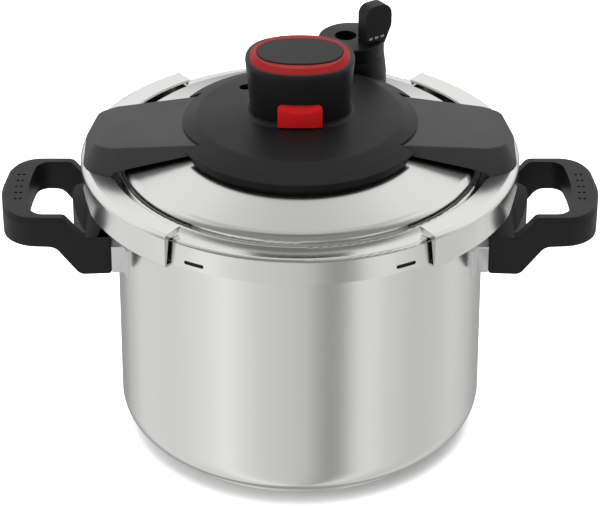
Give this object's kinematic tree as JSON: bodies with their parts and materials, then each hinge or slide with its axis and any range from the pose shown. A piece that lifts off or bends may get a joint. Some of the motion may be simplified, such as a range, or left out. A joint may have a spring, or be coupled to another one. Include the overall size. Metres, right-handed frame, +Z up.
{
  "type": "clamp-jaw stovetop pressure cooker",
  "caption": "Stovetop pressure cooker: deep steel pot with side handles, domed lid, sliding clamp jaws under a press knob, rotary steam valve.",
  "frame": {"origin": "centre of the base's underside, where the pot stands", "axes": "+Z up, +X towards the right-hand pot handle, -Y towards the release button on the front of the knob"},
  "size_m": [0.3642, 0.2554, 0.2537],
  "materials": {
    "pot_steel": "satin polished stainless steel",
    "lid_steel": "satin stainless steel",
    "jaw_steel": "pressed stainless steel, semi-bright",
    "base_steel": "magnetic stainless steel, brushed",
    "core_aluminium": "plain, sealed between the pot and the base cap",
    "bracket_steel": "bent stainless sheet",
    "fastener_steel": "plain stainless",
    "spring_steel": "drawn wire",
    "handle_plastic": "fine satin grain",
    "cover_plastic": "satin, slightly glossy",
    "arm_cover_plastic": "satin dark grey",
    "knob_plastic": "satin black",
    "plate_plastic": "satin dark grey",
    "red_plastic": "semi-gloss red",
    "valve_plastic": "semi-gloss black",
    "seal_rubber": "grey silicone",
    "valve_brass": "turned, plain"
  },
  "bodies": {
    "pot": {"pot_shell": "pot_steel", "base_core": "core_aluminium", "base_cap": "base_steel", "right_handle_bracket": "bracket_steel", "left_handle_bracket": "bracket_steel", "right_pot_handle": "handle_plastic", "left_pot_handle": "handle_plastic", "handle_studs": "fastener_steel", "handle_nuts": "fastener_steel"},
    "lid": {"lid_shell": "lid_steel", "lid_gasket": "seal_rubber", "guide_frame": "bracket_steel", "frame_screws": "fastener_steel", "frame_nuts": "fastener_steel", "central_cover": "cover_plastic", "cover_screws": "fastener_steel", "knob_housing": "knob_plastic", "housing_screws": "fastener_steel", "knob_ring": "red_plastic", "plunger_spring": "spring_steel", "button_spring": "spring_steel", "valve_tower": "valve_plastic", "valve_pipe": "valve_brass", "valve_nut": "valve_brass", "lock_pin_bush": "valve_plastic", "safety_valve_body": "valve_brass", "safety_valve_nut": "valve_brass", "safety_cap": "valve_brass", "safety_spring": "spring_steel"},
    "plunger": {"plunger_plate": "plate_plastic", "cam_plunger": "bracket_steel"},
    "release_button": {"release_button": "red_plastic"},
    "valve_head": {"valve_head": "valve_plastic"},
    "valve_weight": {"valve_weight": "valve_brass"},
    "lock_pin": {"lock_pin": "valve_plastic", "lock_pin_seal": "seal_rubber", "lock_pin_clip": "fastener_steel"},
    "safety_ball": {"safety_ball": "fastener_steel"},
    "left_jaw": {"left_jaw": "jaw_steel", "left_jaw_arm": "bracket_steel", "left_jaw_rivets": "fastener_steel", "left_cam_pin": "fastener_steel", "left_arm_cover": "arm_cover_plastic", "left_arm_screws": "fastener_steel"},
    "right_jaw": {"right_jaw": "jaw_steel", "right_jaw_arm": "bracket_steel", "right_jaw_rivets": "fastener_steel", "right_cam_pin": "fastener_steel", "right_arm_cover": "arm_cover_plastic", "right_arm_screws": "fastener_steel"}
  },
  "joints": [
    {"name": "lid_lift", "type": "slide", "parent": "pot", "child": "lid", "axis": [0, 0, 1], "range_m": [0, 0.15]},
    {"name": "left_jaw_slide", "type": "slide", "parent": "lid", "child": "left_jaw", "axis": [-1, 0, 0], "range_m": [-0.0035, 0.011]},
    {"name": "right_jaw_slide", "type": "slide", "parent": "lid", "child": "right_jaw", "axis": [1, 0, 0], "range_m": [-0.0035, 0.011]},
    {"name": "plunger_slide", "type": "slide", "parent": "lid", "child": "plunger", "axis": [0, 0, 1], "range_m": [-0.00175, 0.0055], "deforming": ["plunger_spring"]},
    {"name": "release_button_slide", "type": "slide", "parent": "lid", "child": "release_button", "axis": [0, 1, 0], "range_m": [0, 0.003], "stiffness_N_per_m": 250, "springref_m": -0.002, "deforming": ["button_spring"]},
    {"name": "valve_head_turn", "type": "hinge", "parent": "lid", "child": "valve_head", "pos_m": [0.032, 0.08, 0.2146], "axis": [0, 0, 1], "range_deg": [-90, 90]},
    {"name": "valve_weight_lift", "type": "slide", "parent": "lid", "child": "valve_weight", "axis": [0, 0, 1], "range_m": [0, 0.0025]},
    {"name": "lock_pin_rise", "type": "slide", "parent": "lid", "child": "lock_pin", "axis": [0, 0, 1], "range_m": [0, 0.004]},
    {"name": "safety_ball_lift", "type": "slide", "parent": "lid", "child": "safety_ball", "axis": [0, 0, 1], "range_m": [0, 0.0012], "stiffness_N_per_m": 300, "springref_m": -0.002, "deforming": ["safety_spring"]}
  ],
  "couplings": [
    {"joint": "right_jaw_slide", "follows": "left_jaw_slide", "ratio": 1},
    {"joint": "plunger_slide", "follows": "left_jaw_slide", "ratio": 0.5}
  ]
}
